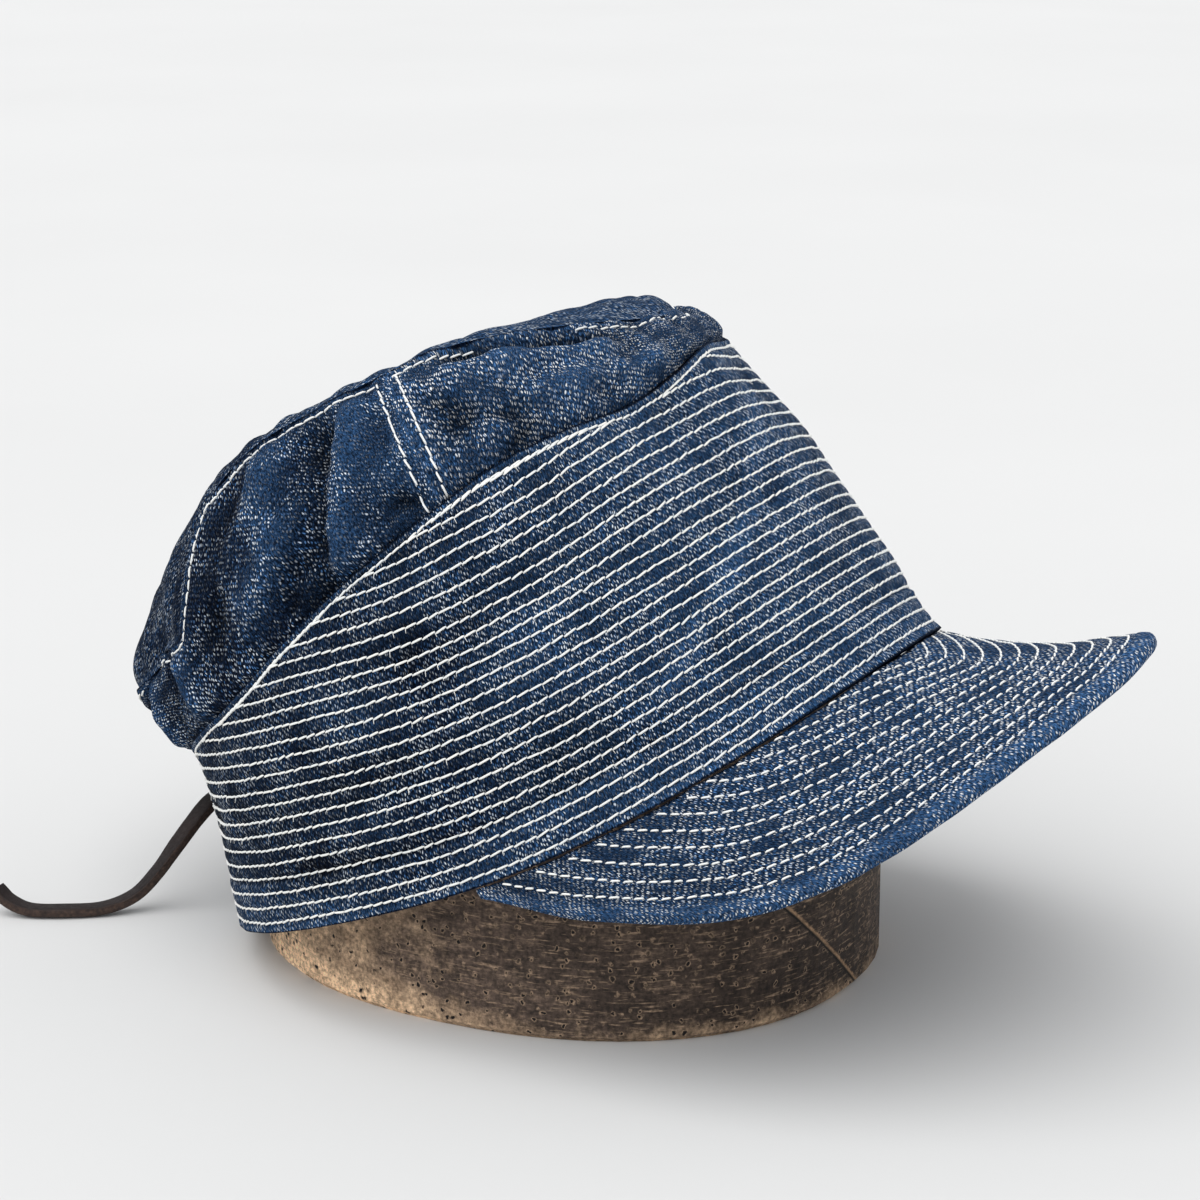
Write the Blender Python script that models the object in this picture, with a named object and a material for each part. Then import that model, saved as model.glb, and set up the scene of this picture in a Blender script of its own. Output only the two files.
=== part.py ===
"""Sailor cap in stitched denim, sitting tilted on a plain wooden hat block.

Units are metres. The origin is the middle of the block's flat base, +Z is up and the visor
points to -Y. Angles around the cap run from 0 at the front, through 90 degrees at each side,
to 180 at the back, and are positive on the +X side.
"""
import bpy
import bmesh
import math
import numpy as np

# hem of the band: an egg-shaped oval, raised at the front
HEM_LONG = 0.1000
HEM_WIDE = 0.0873
HEM_EGG = 0.0735
HEM_TILT = math.radians(22.0)
HEM_FRONT_LIFT = 0.0169
HEM_CLEAR = 0.0013
CAP_FORWARD = 0.0080

# height of the crown above the middle of the hem, and the fabric walls
CROWN_HIGH = 0.1312
BAND_WALL = 0.0026
CROWN_WALL = 0.0016
SEWN_GAP = 0.00035

# swell of the band between hem and top edge, and its kick outwards over the visor
SWELL_FRONT = 0.0045
SWELL_SIDE = 0.0030
SWELL_BACK = -0.0015
HEM_KICK = 0.0030
KICK_SPAN = 14.0

# half tables: one row for each 15 degrees from front to back, mirrored to the other side
ROW_STEP = math.radians(15.0)
# top edge of the band: half width / HEM_WIDE, way back / HEM_LONG, height / CROWN_HIGH
BAND_TOP = [
    (0.000, -0.289, 0.924),
    (0.251, -0.274, 0.901),
    (0.485, -0.219, 0.867),
    (0.684, -0.135, 0.844),
    (0.838, -0.049, 0.798),
    (0.935, 0.066, 0.703),
    (0.968, 0.206, 0.585),
    (0.945, 0.416, 0.432),
    (0.865, 0.626, 0.280),
    (0.722, 0.801, 0.173),
    (0.515, 0.951, 0.085),
    (0.263, 1.041, 0.024),
    (0.000, 1.071, -0.006),
]
# seam around the tip, in the same three shares
TIP_SEAM = [
    (0.000, -0.184, 0.970),
    (0.195, -0.159, 0.966),
    (0.378, -0.074, 0.958),
    (0.533, 0.036, 0.947),
    (0.647, 0.156, 0.928),
    (0.704, 0.306, 0.878),
    (0.710, 0.466, 0.821),
    (0.693, 0.641, 0.737),
    (0.655, 0.806, 0.605),
    (0.605, 0.900, 0.440),
    (0.550, 0.995, 0.285),
    (0.410, 1.170, 0.160),
    (0.000, 1.250, 0.080),
]
# middle line over the tip: way back / HEM_LONG, height / CROWN_HIGH
TIP_SPINE = [
    (-0.184, 0.970),
    (-0.144, 0.979),
    (-0.064, 0.981),
    (0.046, 0.968),
    (0.196, 0.938),
    (0.356, 0.893),
    (0.526, 0.832),
    (0.726, 0.748),
    (0.936, 0.653),
    (1.120, 0.535),
    (1.250, 0.380),
    (1.340, 0.215),
    (1.250, 0.080),
]
# puff of the crown's side wall: shares of CROWN_PUFF, one for each 30 degrees
CROWN_PUFF = 0.0075
PUFF_SHARES = [0.2, 0.4, 0.6, 0.67, 0.8, 0.7, 0.4]
# lean of the worn cap: the front of the crown turns to the -X side, which also stands higher
TOP_SKEW = 0.20
TIP_SKEW = 0.12
TIP_LEAN = 0.15
# how square the tip's cross sections are: 0 is flat to the seam, 1 is a full round
TIP_ROUND = 0.65

# side seam of the crown, where its front and back pieces meet
SIDE_SEAM = math.radians(72.0)
# towards its two ends the tip is read from these angles
TIP_NEAR = math.radians(35.0)

# visor: depth from the hem to the tip of its edge
VISOR_DEPTH = 0.0600
VISOR_THICK = 0.0042
VISOR_DROP = 0.0005
VISOR_DIP = 0.0030
VISOR_SKEW = 0.12
# outer edge: hem angle in degrees, then way out, forward and up / VISOR_DEPTH
VISOR_EDGE = [
    (0.0, 0.000, 0.950, 0.143),
    (12.0, 0.053, 0.921, 0.109),
    (22.0, 0.092, 0.856, 0.058),
    (32.0, 0.094, 0.797, 0.003),
    (42.0, 0.080, 0.775, -0.030),
    (52.0, 0.064, 0.779, -0.047),
    (60.0, 0.078, 0.744, -0.066),
    (67.0, 0.099, 0.652, -0.080),
    (73.0, 0.097, 0.481, -0.068),
    (78.0, 0.065, 0.273, -0.054),
    (82.0, 0.016, 0.027, -0.022),
]

# hat block: room between it and the hem, its straight wall, and the clearance under the crown
BLOCK_SIDE_ROOM = 0.0178
BLOCK_BACK_ROOM = 0.0019
BLOCK_STRAIGHT = 0.0580
BLOCK_POWER = 2.2
BLOCK_EDGE = 0.0015
CROWN_SEAT = 0.0004

# leather lace: a flat strip from the back of the band down to the table
LACE_WIDE = 0.0050
LACE_THICK = 0.0026
LACE_PATH = [
    (-0.0080, 0.0960, 0.0273),
    (-0.0150, 0.1000, 0.0268),
    (-0.0230, 0.1011, 0.0235),
    (-0.0310, 0.1036, 0.0165),
    (-0.0360, 0.1066, 0.0100),
    (-0.0410, 0.1106, 0.0045),
    (-0.0470, 0.1166, 0.0019),
    (-0.0530, 0.1251, 0.0017),
    (-0.0570, 0.1331, 0.0019),
    (-0.0585, 0.1386, 0.0040),
    (-0.0590, 0.1421, 0.0070),
]

# mesh fineness
AROUND = 80
BAND_ROWS = 7
WALL_ROWS = 5
TIP_ACROSS = 12
VISOR_ROWS = 6
VISOR_ACROSS = 37
BLOCK_AROUND = 56
DOME_ROWS = 12


def wrapped(angle):
    return (angle + math.pi) % (2 * math.pi) - math.pi


def spline(a, b, c, d, t):
    """Smooth value between b and c, with a before them and d after them."""
    return b + 0.5 * t * (c - a + t * (2 * a - 5 * b + 4 * c - d + t * (3 * (b - c) + d - a)))


def half_table(values, place, odd, mirror_end=True):
    """Smooth value of a half table at a place counted in rows; odd columns change side."""
    side = -1.0 if odd and place < 0 else 1.0
    place = abs(place)
    last = len(values) - 1
    low = min(int(place), last - 1)

    def pick(index):
        if index < 0:
            return -values[-index] if odd else values[-index]
        if index <= last:
            return values[index]
        if mirror_end:
            return -values[2 * last - index] if odd else values[2 * last - index]
        return 2 * values[last] - values[2 * last - index]

    return side * spline(*(pick(low + k) for k in (-1, 0, 1, 2)), place - low)


def column(table, index):
    return [row[index] for row in table]


def hem_middle():
    return np.array([0.0, -CAP_FORWARD, HEM_CLEAR + HEM_LONG * math.sin(HEM_TILT)])


def hem_point(angle):
    c, s = math.cos(angle), math.sin(angle)
    lift = HEM_FRONT_LIFT * max(c, 0.0) ** 2
    return hem_middle() + np.array([
        HEM_WIDE * s * (1 - HEM_EGG * c),
        lift * math.sin(HEM_TILT) - HEM_LONG * c * math.cos(HEM_TILT),
        lift * math.cos(HEM_TILT) + HEM_LONG * c * math.sin(HEM_TILT)])


def ring_point(table, angle):
    """Point of the band's top edge or of the tip seam."""
    angle = wrapped(angle)
    place = angle / ROW_STEP
    x = half_table(column(table, 0), place, True) * HEM_WIDE
    y = half_table(column(table, 1), place, False) * HEM_LONG
    z = half_table(column(table, 2), place, False) * CROWN_HIGH
    front = max(math.cos(angle), 0.0)
    skew, lean = (TOP_SKEW, 0.0) if table is BAND_TOP else (TIP_SKEW, TIP_LEAN)
    return hem_middle() + np.array([x, y + skew * x * front, z - lean * x * front])


def outward(angle):
    return np.array([math.sin(angle), -math.cos(angle), 0.0])


def band_point(angle, v):
    """Outer face of the band: v is 0 on the hem and 1 on the top edge."""
    low, high = hem_point(angle), ring_point(BAND_TOP, angle)
    front, back = max(math.cos(angle), 0.0), max(-math.cos(angle), 0.0)
    swell = SWELL_SIDE + (SWELL_FRONT - SWELL_SIDE) * front + (SWELL_BACK - SWELL_SIDE) * back
    kick = HEM_KICK * front * (1 - math.exp(-KICK_SPAN * v)) * (1 - v)
    return low + (high - low) * v + outward(angle) * (swell * 4 * v * (1 - v) - kick)


def wall_point(angle, v):
    """Outer face of the crown's side wall: v is 0 on the band and 1 on the tip seam."""
    low, high = ring_point(BAND_TOP, angle), ring_point(TIP_SEAM, angle)
    place = abs(wrapped(angle)) / (2 * ROW_STEP)
    low_row = min(int(place), len(PUFF_SHARES) - 2)
    share = PUFF_SHARES[low_row]
    share += (PUFF_SHARES[low_row + 1] - share) * (place - low_row)
    along = (high - low) / np.linalg.norm(high - low)
    side = outward(angle) + np.array([0.0, 0.0, 0.4 + 0.9 * math.cos(angle)])
    side -= along * side.dot(along)
    side /= np.linalg.norm(side)
    return low + (high - low) * v + side * CROWN_PUFF * share * 4 * v * (1 - v)


def tip_point(angle, t):
    """Outer face of the tip: t is -1 on the -X seam, 0 on the middle line, 1 on the +X seam."""
    edge = ring_point(TIP_SEAM, angle if t >= 0 else -angle)
    place = angle / ROW_STEP
    spine = hem_middle() + np.array([0.0, half_table(column(TIP_SPINE, 0), place, False) * HEM_LONG,
                                     half_table(column(TIP_SPINE, 1), place, False) * CROWN_HIGH])
    turn = abs(t) * math.pi / 2
    reach = TIP_ROUND * math.sin(turn) + (1 - TIP_ROUND) * abs(t)
    drop = TIP_ROUND * (1 - math.cos(turn)) + (1 - TIP_ROUND) * abs(t)
    return spine + (edge - spine) * np.array([reach, drop, drop])


def tip_inward(angle, v):
    """Tip close to its seam, read straight in from the seam towards the middle line."""
    seam = ring_point(TIP_SEAM, angle)
    near = min(max(abs(wrapped(angle)), TIP_NEAR), math.pi - TIP_NEAR)
    return seam + (tip_point(near, 0.0) - seam) * v


def rim_normal(angle, lower, upper):
    """Shared normal of two sewn surfaces, long enough to mitre their walls together."""
    step = math.radians(2.0)
    normals = []
    for surface, v in ((lower, 0.94), (upper, 0.06)):
        around = surface(angle + step, v) - surface(angle - step, v)
        rise = surface(angle, v + 0.05) - surface(angle, v - 0.05)
        normal = np.cross(around, rise)
        normals.append(normal / np.linalg.norm(normal))
    shared = normals[0] + normals[1]
    shared /= np.linalg.norm(shared)
    return shared / max(shared.dot(normals[0]), 0.6)


def grid_normals(points, closed):
    """Unit normals of a grid of points; rows run around and columns run up."""
    if closed:
        around = np.roll(points, -1, 0) - np.roll(points, 1, 0)
    else:
        around = np.gradient(points, axis=0)
    normal = np.cross(around, np.gradient(points, axis=1))
    return normal / np.maximum(np.linalg.norm(normal, axis=2, keepdims=True), 1e-12)


def pull_back(grid, first, last):
    """Shorten a grid by half the sewn gap at its first and last columns."""
    for edge, inside, wanted in ((0, 1, first), (-1, -2, last)):
        if wanted:
            step = grid[:, inside] - grid[:, edge]
            grid[:, edge] += step / np.linalg.norm(step, axis=1, keepdims=True) * SEWN_GAP / 2
    return grid


def finish_mesh(name, bm, look, into):
    bmesh.ops.remove_doubles(bm, verts=bm.verts, dist=SEWN_GAP / 20)
    bmesh.ops.recalc_face_normals(bm, faces=bm.faces)
    mesh = bpy.data.meshes.new(name)
    bm.to_mesh(mesh)
    bm.free()
    mesh.materials.append(look)
    mesh.shade_smooth()
    made = bpy.data.objects.new(name, mesh)
    into.objects.link(made)
    return made


def shell(name, outer, inner, closed, look, into):
    """Closed wall lofted between two grids of the same size."""
    around, up = outer.shape[:2]
    bm = bmesh.new()
    out, inn = [[[bm.verts.new(p) for p in row] for row in grid] for grid in (outer, inner)]
    for i in range(around if closed else around - 1):
        n = (i + 1) % around
        for j in range(up - 1):
            bm.faces.new((out[i][j], out[n][j], out[n][j + 1], out[i][j + 1]))
            bm.faces.new((inn[i][j], inn[i][j + 1], inn[n][j + 1], inn[n][j]))
        bm.faces.new((out[n][0], out[i][0], inn[i][0], inn[n][0]))
        bm.faces.new((out[i][-1], out[n][-1], inn[n][-1], inn[i][-1]))
    if not closed:
        for j in range(up - 1):
            bm.faces.new((out[0][j], out[0][j + 1], inn[0][j + 1], inn[0][j]))
            bm.faces.new((out[-1][j + 1], out[-1][j], inn[-1][j], inn[-1][j + 1]))
    return finish_mesh(name, bm, look, into)


def band_grids():
    turn = [2 * math.pi * i / AROUND - math.pi for i in range(AROUND)]
    ups = [(j / BAND_ROWS) ** 1.25 for j in range(BAND_ROWS + 1)]
    outer = np.array([[band_point(a, v) for v in ups] for a in turn])
    normal = grid_normals(outer, True)
    for i, a in enumerate(turn):
        normal[i, -1] = rim_normal(a, band_point, wall_point)
    inner = outer - normal * BAND_WALL
    return pull_back(outer, False, True), pull_back(inner, False, True)


def wall_grids(first, last):
    step = 2 * math.pi / AROUND
    inside = range(math.ceil(first / step + 0.1), math.floor(last / step - 0.1) + 1)
    turn = [first] + [i * step for i in inside] + [last]
    outer = np.array([[wall_point(a, j / WALL_ROWS) for j in range(WALL_ROWS + 1)] for a in turn])
    normal = grid_normals(outer, False)
    for i, a in enumerate(turn):
        normal[i, 0] = rim_normal(a, band_point, wall_point)
        normal[i, -1] = rim_normal(a, wall_point, tip_inward)
    inner = outer - normal * CROWN_WALL
    return pull_back(outer, True, True), pull_back(inner, True, True)


def tip_grids():
    """Rows run across the tip from seam to seam, from front to back."""
    turn = [2 * math.pi * (i + 1) / AROUND for i in range(AROUND // 2 - 1)]
    across = [2 * j / TIP_ACROSS - 1 for j in range(TIP_ACROSS + 1)]
    outer = np.array([[tip_point(a, t) for t in across] for a in turn])
    normal = grid_normals(outer, False)
    if normal[len(turn) // 2, TIP_ACROSS // 2, 2] < 0:
        normal = -normal
    for i, a in enumerate(turn):
        for j in (0, -1):
            normal[i, j] = rim_normal(math.copysign(a, across[j]), wall_point, tip_inward)
    for j, t in enumerate(across):
        normal[0, j] = rim_normal(t * turn[0], wall_point, tip_inward)
        normal[-1, j] = rim_normal(math.pi - t * turn[0], wall_point, tip_inward)
    inner = outer - normal * CROWN_WALL
    for grid in (outer, inner):
        for end, inside in ((0, 1), (-1, -2)):
            step = grid[inside] - grid[end]
            grid[end] += step / np.linalg.norm(step, axis=1, keepdims=True) * SEWN_GAP
    return pull_back(outer, True, True), pull_back(inner, True, True)


def visor_point(place, v):
    """Upper face of the visor: place is -1 to 1 from corner to corner, v is 1 on its edge."""
    row = place * (len(VISOR_EDGE) - 1)
    angle, out, forward, rise = (half_table(column(VISOR_EDGE, k), row, k < 2, False) for k in range(4))
    start = band_point(math.radians(angle), 0.0)
    reach = np.array([out, -forward, rise]) * VISOR_DEPTH
    reach[1] += VISOR_SKEW * (start[0] + reach[0]) * math.cos(place * math.pi / 2)
    dip = VISOR_DIP * (1 - abs(place)) * math.sin(math.pi * v)
    return start + reach * v - np.array([0.0, 0.0, dip + VISOR_DROP])


def build_visor(look, into):
    places = [2 * i / (VISOR_ACROSS - 1) - 1 for i in range(VISOR_ACROSS)]
    top = np.array([[visor_point(p, j / VISOR_ROWS) for j in range(VISOR_ROWS + 1)] for p in places])
    normal = grid_normals(top, False)
    if normal[VISOR_ACROSS // 2, VISOR_ROWS // 2, 2] < 0:
        normal = -normal
    half = VISOR_THICK / 2
    bm = bmesh.new()
    sections = []
    for i in range(VISOR_ACROSS):
        reach = top[i, -1] - top[i, -2]
        reach /= np.linalg.norm(reach)
        nose = []
        for turn in (math.pi / 4, math.pi / 2, 3 * math.pi / 4):
            nose.append(top[i, -1] - normal[i, -1] * half * (1 - math.cos(turn))
                        + reach * half * math.sin(turn))
        under = [top[i, j] - normal[i, j] * VISOR_THICK for j in range(VISOR_ROWS, -1, -1)]
        sections.append([bm.verts.new(p) for p in [*top[i], *nose, *under]])
    size = len(sections[0])
    for near, far in zip(sections, sections[1:]):
        for j in range(size):
            k = (j + 1) % size
            bm.faces.new((near[j], far[j], far[k], near[k]))
    bm.faces.new(sections[0])
    bm.faces.new(sections[-1])
    return finish_mesh("visor", bm, look, into)


def block_sizes(undersides):
    """Half width, half length and top of the block, so that it fills the cap up to its seat."""
    wide = HEM_WIDE - BLOCK_SIDE_ROOM
    long = hem_point(math.pi)[1] - BAND_WALL - BLOCK_BACK_ROOM
    tops = []
    for x, y, z in np.vstack([grid.reshape(-1, 3) for grid in undersides]):
        ratio = abs(x / wide) ** BLOCK_POWER + abs(y / long) ** BLOCK_POWER
        if ratio < 0.9 and z > BLOCK_STRAIGHT:
            rise = math.sqrt(1 - ratio ** (2 / BLOCK_POWER))
            tops.append(BLOCK_STRAIGHT + (z - CROWN_SEAT - BLOCK_STRAIGHT) / rise)
    return wide, long, min(tops)


def build_block(undersides, look, into):
    wide, long, top = block_sizes(undersides)
    levels = [(0.0, 1.0 - BLOCK_EDGE / wide), (BLOCK_EDGE, 1.0), (BLOCK_STRAIGHT, 1.0)]
    for i in range(1, DOME_ROWS):
        a = math.pi / 2 * i / DOME_ROWS
        levels.append((BLOCK_STRAIGHT + (top - BLOCK_STRAIGHT) * math.sin(a), math.cos(a)))
    bm = bmesh.new()
    rings = []
    for z, scale in levels:
        ring = []
        for i in range(BLOCK_AROUND):
            a = 2 * math.pi * i / BLOCK_AROUND
            c, s = math.cos(a), math.sin(a)
            x = wide * scale * math.copysign(abs(s) ** (2 / BLOCK_POWER), s)
            y = long * scale * math.copysign(abs(c) ** (2 / BLOCK_POWER), -c)
            ring.append(bm.verts.new((x, y, z)))
        rings.append(ring)
    for low, high in zip(rings, rings[1:]):
        for i in range(BLOCK_AROUND):
            n = (i + 1) % BLOCK_AROUND
            bm.faces.new((low[i], low[n], high[n], high[i]))
    bm.faces.new(rings[0])
    crest = bm.verts.new((0.0, 0.0, top))
    for i in range(BLOCK_AROUND):
        bm.faces.new((rings[-1][i], rings[-1][(i + 1) % BLOCK_AROUND], crest))
    made = finish_mesh("hat_block", bm, look, into)
    made.data.set_sharp_from_angle(angle=math.radians(35))
    return made


def smooth_route(points, spacing):
    """Even points along a smooth curve through the route."""
    route = np.array(points)
    padded = np.vstack([2 * route[0] - route[1], route, 2 * route[-1] - route[-2]])
    fine = [spline(*padded[i:i + 4], t) for i in range(len(route) - 1)
            for t in np.linspace(0, 1, 24, endpoint=False)]
    fine = np.array([*fine, route[-1]])
    walked = np.concatenate([[0], np.cumsum(np.linalg.norm(np.diff(fine, axis=0), axis=1))])
    marks = np.linspace(0, walked[-1], round(walked[-1] / spacing) + 1)
    return np.stack([np.interp(marks, walked, fine[:, k]) for k in range(3)], 1)


def build_lace(look, into, guides):
    """Flat strip with chamfered corners, swept along the route."""
    outline = bpy.data.curves.new("lace_profile", "CURVE")
    outline.dimensions = "2D"
    half, thin, corner = LACE_WIDE / 2, LACE_THICK / 2, 0.15 * LACE_THICK
    quarter = [(half, thin - corner), (half - corner, thin)]
    upper = quarter + [(-x, y) for x, y in reversed(quarter)]
    corners = [(x, -y) for x, y in upper] + upper[::-1]
    edge = outline.splines.new("POLY")
    edge.points.add(len(corners) - 1)
    for point, (x, y) in zip(edge.points, corners):
        point.co = (x, y, 0, 1)
    edge.use_cyclic_u = True
    profile = bpy.data.objects.new("lace_profile", outline)
    profile.hide_render = True
    profile.display_type = "WIRE"
    guides.objects.link(profile)
    strip = bpy.data.curves.new("back_lace", "CURVE")
    strip.dimensions = "3D"
    strip.bevel_mode = "OBJECT"
    strip.bevel_object = profile
    strip.use_fill_caps = True
    strip.twist_mode = "Z_UP"
    route = smooth_route(LACE_PATH, LACE_WIDE / 2)
    line = strip.splines.new("POLY")
    line.points.add(len(route) - 1)
    for point, place in zip(line.points, route):
        point.co = (*place, 1)
    strip.materials.append(look)
    into.objects.link(bpy.data.objects.new("back_lace", strip))


def material(name, colour, roughness):
    made = bpy.data.materials.new(name)
    made.use_nodes = True
    shader = made.node_tree.nodes["Principled BSDF"]
    shader.inputs["Base Color"].default_value = (*colour, 1.0)
    shader.inputs["Roughness"].default_value = roughness
    shader.inputs["Metallic"].default_value = 0.0
    return made


def collection(name):
    made = bpy.data.collections.new(name)
    bpy.context.scene.collection.children.link(made)
    return made


def main():
    for thing in list(bpy.data.objects):
        bpy.data.objects.remove(thing, do_unlink=True)
    cap = collection("sailor_cap")
    guides = collection("guides")
    guides.hide_render = True

    slit = SEWN_GAP / (HEM_WIDE * TIP_SEAM[5][0])
    band = band_grids()
    front = wall_grids(slit - SIDE_SEAM, SIDE_SEAM - slit)
    back = wall_grids(SIDE_SEAM + slit, 2 * math.pi - SIDE_SEAM - slit)
    tip = tip_grids()
    shell("band", *band, True, material("row_stitched_denim", (0.05, 0.085, 0.18), 0.85), cap)
    shell("crown_side_front", *front, False, material("front_denim", (0.035, 0.065, 0.15), 0.85), cap)
    shell("crown_side_back", *back, False, material("back_denim", (0.033, 0.06, 0.14), 0.85), cap)
    shell("crown_tip", *tip, False, material("tip_denim", (0.04, 0.07, 0.16), 0.85), cap)
    build_visor(material("visor_denim", (0.045, 0.09, 0.2), 0.85), cap)
    build_lace(material("dark_leather", (0.03, 0.018, 0.015), 0.6), cap, guides)
    undersides = [grids[1] for grids in (band, front, back, tip)]
    build_block(undersides, material("worn_wood", (0.16, 0.1, 0.06), 0.7), cap)


main()
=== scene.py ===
import bpy
import bmesh
import math
import numpy as np
from mathutils import Matrix, Vector
from mathutils.bvhtree import BVHTree


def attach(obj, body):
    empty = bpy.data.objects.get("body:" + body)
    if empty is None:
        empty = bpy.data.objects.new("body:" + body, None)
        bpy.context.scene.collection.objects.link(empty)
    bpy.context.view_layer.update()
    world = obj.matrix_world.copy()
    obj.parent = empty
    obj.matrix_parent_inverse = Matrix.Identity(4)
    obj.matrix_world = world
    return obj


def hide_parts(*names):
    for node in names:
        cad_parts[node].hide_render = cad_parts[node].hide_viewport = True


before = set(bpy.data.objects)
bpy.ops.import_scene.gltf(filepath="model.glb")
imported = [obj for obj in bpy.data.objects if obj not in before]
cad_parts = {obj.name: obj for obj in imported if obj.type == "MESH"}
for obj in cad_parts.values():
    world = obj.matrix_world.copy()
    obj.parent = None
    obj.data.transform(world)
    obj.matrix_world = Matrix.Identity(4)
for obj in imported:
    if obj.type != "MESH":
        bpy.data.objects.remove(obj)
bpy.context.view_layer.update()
mm = 0.001
deg = math.radians
chance = np.random.default_rng(7)


# small helpers for the whole scene
def deselectAll():
    if bpy.context.object and bpy.context.object.mode != "OBJECT":
        bpy.ops.object.mode_set(mode="OBJECT")
    bpy.ops.object.select_all(action="DESELECT")


def pickOnly(obj):
    deselectAll()
    obj.select_set(True)
    bpy.context.view_layer.objects.active = obj


def editAll(obj):
    pickOnly(obj)
    bpy.ops.object.mode_set(mode="EDIT")
    bpy.ops.mesh.select_all(action="SELECT")


def useModifier(obj, kind, **values):
    pickOnly(obj)
    modifier = obj.modifiers.new(kind.lower(), kind)
    for key, value in values.items():
        setattr(modifier, key, value)
    bpy.ops.object.modifier_apply(modifier=modifier.name)


def finishPiece(obj, name, material, slotName, *nodes):
    obj.name = name
    obj.data.name = name
    obj.data.materials.clear()
    obj.data.materials.append(material)
    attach(obj, "root")
    if nodes:
        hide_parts(*nodes)


def nodeMaker(material):
    # short way to add a node and wire its inputs: a pair of node and output name is a link
    tree = material.node_tree

    def add(kind, settings=None, **inputs):
        node = tree.nodes.new(kind)
        for key, value in (settings or {}).items():
            setattr(node, key, value)
        for key, value in inputs.items():
            # i0, i1 ... are inputs by number, the rest by name
            socket = node.inputs[int(key[1:]) if key[1:].isdigit() else key]
            if isinstance(value, tuple) and isinstance(value[0], bpy.types.Node):
                tree.links.new(value[0].outputs[value[1]], socket)
            else:
                socket.default_value = value
        return node

    return add


def ramp(add, source, *stops):
    node = add("ShaderNodeValToRGB", None, Fac=source)
    bar = node.color_ramp
    while len(bar.elements) < len(stops):
        bar.elements.new(0.5)
    for element, (place, colour) in zip(bar.elements, stops):
        element.position = place
        element.color = (*colour, 1) if isinstance(colour, tuple) else (colour, colour, colour, 1)
    return node, "Color"


def mixColour(add, factor, first, second, how="MIX"):
    settings = {"data_type": "RGBA", "blend_type": how}
    return add("ShaderNodeMix", settings, i0=factor, i6=first, i7=second), "Result"


def sums(add, how, first, second=0.0, third=0.0, clamp=False):
    return add("ShaderNodeMath", {"operation": how, "use_clamp": clamp}, i0=first, i1=second, i2=third), "Value"


def noise(add, place, scale, detail=2.0, roughness=0.5, plane="3D"):
    return add("ShaderNodeTexNoise", {"noise_dimensions": plane}, Vector=place, Scale=scale, Detail=detail,
               Roughness=roughness), "Fac"


def mapped(add, place, scale, turn=(0, 0, 0)):
    return add("ShaderNodeMapping", None, Vector=place, Scale=scale, Rotation=turn), "Vector"


def attribute(add, name):
    return add("ShaderNodeAttribute", {"attribute_name": name}), "Fac"


def objectPlace(add):
    return add("ShaderNodeTexCoord"), "Object"


def facing(add, place, direction):
    return add("ShaderNodeVectorMath", {"operation": "DOT_PRODUCT"}, i0=place, i1=direction), "Value"


def newMaterial(name, roughness=0.5, specular=0.5):
    material = bpy.data.materials.new(name)
    material.use_nodes = True
    shader = material.node_tree.nodes["Principled BSDF"]
    for socket, value in (("Metallic", 0.0), ("Roughness", roughness), ("Specular IOR Level", specular)):
        shader.inputs[socket].default_value = value
    return material, nodeMaker(material), shader


def wire(material, source, shader, socket):
    material.node_tree.links.new(source[0].outputs[source[1]], shader.inputs[socket])


def addBumps(material, add, shader, *layers):
    # strength, distance and height of each layer, laid on the one before
    under = {}
    for strength, distance, height in layers:
        bump = add("ShaderNodeBump", None, Strength=strength, Distance=distance, Height=height, **under)
        under = {"Normal": (bump, "Normal")}
    wire(material, (bump, "Normal"), shader, "Normal")


# camera, at the photograph's angle
cameraView = dict(azimuth=-62.006, elevation=15.5, distance=0.85, lens=100.2,
                  centre=(0.0, 0.0026, 0.10), aside=0.00947)


def addCamera():
    turn, rise = deg(cameraView["azimuth"]), deg(cameraView["elevation"])
    back = Vector((math.sin(turn) * math.cos(rise), -math.cos(turn) * math.cos(rise), math.sin(rise)))
    right = Vector((math.cos(turn), math.sin(turn), 0))
    up = back.cross(right)
    centre = Vector(cameraView["centre"]) + (right - up) * cameraView["aside"]
    place = centre + back * cameraView["distance"]
    data = bpy.data.cameras.new("photoCamera")
    data.lens = cameraView["lens"]
    data.sensor_width = 36
    data.clip_start = 0.01
    camera = bpy.data.objects.new("photoCamera", data)
    bpy.context.scene.collection.objects.link(camera)
    camera.matrix_world = Matrix((
        (right.x, up.x, back.x, place.x), (right.y, up.y, back.y, place.y),
        (right.z, up.z, back.z, place.z), (0, 0, 0, 1)))
    bpy.context.scene.camera = camera


addCamera()
print("camera placed")

# leather lace: a flat strip with worn, slightly furry cut edges, in mm
lace = dict(
    width=5.0, thick=2.6, step=1.2,
    route=[(-8.0, 96.0, 27.3), (-15.0, 100.0, 26.8), (-23.0, 101.1, 23.5), (-31.0, 103.6, 16.5),
           (-36.0, 106.6, 10.0), (-41.0, 110.6, 4.5), (-47.0, 116.6, 1.9), (-53.0, 125.1, 1.7),
           (-57.0, 133.1, 1.9), (-58.5, 138.6, 4.0), (-59.0, 142.1, 7.0)],
    edgeRough=0.16, rimPoints=28, dark=(0.007, 0.0045, 0.0045), light=(0.020, 0.012, 0.011),
    rawDark=(0.03, 0.018, 0.014), rawLight=(0.12, 0.075, 0.055))


def smoothBetween(a, b, c, d, t):
    # smooth curve from b to c, with a and d as the points beyond them
    return b + 0.5 * t * (c - a + t * (2 * a - 5 * b + 4 * c - d + t * (3 * (b - c) + d - a)))


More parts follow.
